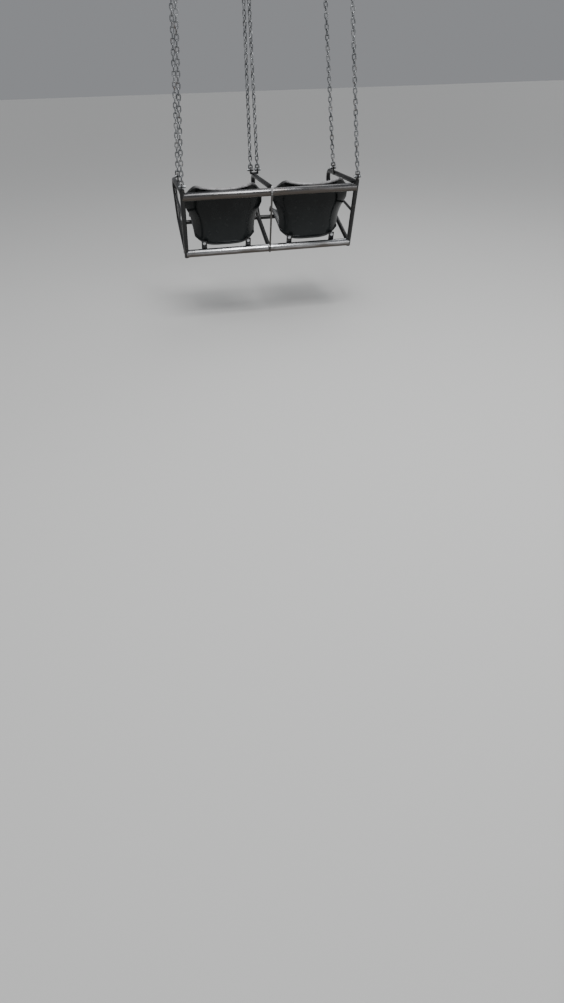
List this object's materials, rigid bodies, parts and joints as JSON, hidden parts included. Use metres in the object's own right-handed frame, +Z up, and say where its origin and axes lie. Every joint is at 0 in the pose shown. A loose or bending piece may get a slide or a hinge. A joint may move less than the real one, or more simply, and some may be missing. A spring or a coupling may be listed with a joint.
{
  "type": "double swing ride chair hung on chains",
  "caption": "Side-by-side swing ride chair: moulded seats in a tube frame, hung on chains from a spreader that pivots in a bolted bracket.",
  "frame": {"origin": "middle of the top face of the bracket's mounting plate, which bolts under the tip of a sweep arm", "axes": "+Z up, +Y the way the riders face, +X to the riders' right, the side that swings outwards"},
  "size_m": [1.157, 0.7255, 1.8885],
  "materials": {
    "bare_steel": "bare drawn steel tube, polished by handling",
    "black_paint": "black enamel, satin, chipped at edges",
    "seat_plastic": "black moulded shell, half gloss, fine scratches",
    "chain_steel": "weathered zinc",
    "galvanised_steel": "hot-dip galvanised, dull spangle"
  },
  "bodies": {
    "bracket": {"mounting_plate": "galvanised_steel", "bracket_ear_front": "galvanised_steel", "bracket_ear_rear": "galvanised_steel", "swing_pin": "chain_steel"},
    "spreader": {"spreader_hub": "galvanised_steel", "spreader_beam": "galvanised_steel", "spreader_arm_left": "galvanised_steel", "spreader_arm_middle": "galvanised_steel", "spreader_arm_right": "galvanised_steel"},
    "rear_chains": {"chain_rear_left": "chain_steel", "chain_rear_right": "chain_steel", "upper_shackle_rear_left": "chain_steel", "upper_shackle_rear_right": "chain_steel", "lower_shackle_rear_left": "chain_steel", "lower_shackle_rear_right": "chain_steel"},
    "front_chains": {"chain_front_left": "chain_steel", "chain_front_right": "chain_steel", "upper_shackle_front_left": "chain_steel", "upper_shackle_front_right": "chain_steel", "lower_shackle_front_left": "chain_steel", "lower_shackle_front_right": "chain_steel"},
    "middle_chains": {"chain_middle_left": "chain_steel", "chain_middle_right": "chain_steel", "upper_shackle_middle": "chain_steel", "lower_shackle_middle_left": "chain_steel", "lower_shackle_middle_right": "chain_steel"},
    "chair": {"top_rail": "bare_steel", "bottom_rail": "bare_steel", "middle_tie": "bare_steel", "rear_post_left": "black_paint", "rear_post_right": "black_paint", "armrest_left": "black_paint", "armrest_middle": "black_paint", "armrest_right": "black_paint", "front_post_left": "black_paint", "front_post_middle": "black_paint", "front_post_right": "black_paint", "lower_bar_left": "black_paint", "lower_bar_middle": "black_paint", "lower_bar_right": "black_paint", "side_strut_left": "black_paint", "side_strut_right": "black_paint", "seat_rail": "black_paint", "seat_shell_left": "seat_plastic", "seat_shell_right": "seat_plastic"}
  },
  "joints": [
    {"name": "swing_out", "type": "hinge", "parent": "bracket", "child": "spreader", "pos_m": [0, 0, -0.095], "axis": [0, -1, 0], "range_deg": [-10, 60]},
    {"name": "rear_chain_swing", "type": "hinge", "parent": "spreader", "child": "rear_chains", "pos_m": [0, -0.3, -0.237], "axis": [1, 0, 0], "range_deg": [-20, 20]},
    {"name": "front_chain_swing", "type": "hinge", "parent": "spreader", "child": "front_chains", "pos_m": [0, 0.2, -0.237], "axis": [1, 0, 0], "range_deg": [-20, 20]},
    {"name": "middle_chain_swing", "type": "hinge", "parent": "spreader", "child": "middle_chains", "pos_m": [0, 0.32, -0.237], "axis": [1, 0, 0], "range_deg": [-20, 20]},
    {"name": "chair_level", "type": "hinge", "parent": "rear_chains", "child": "chair", "pos_m": [0, -0.3, -1.437], "axis": [1, 0, 0], "range_deg": [-20, 20]}
  ],
  "couplings": [
    {"joint": "front_chain_swing", "follows": "rear_chain_swing", "ratio": 1},
    {"joint": "middle_chain_swing", "follows": "rear_chain_swing", "ratio": 1},
    {"joint": "chair_level", "follows": "rear_chain_swing", "ratio": -1}
  ]
}
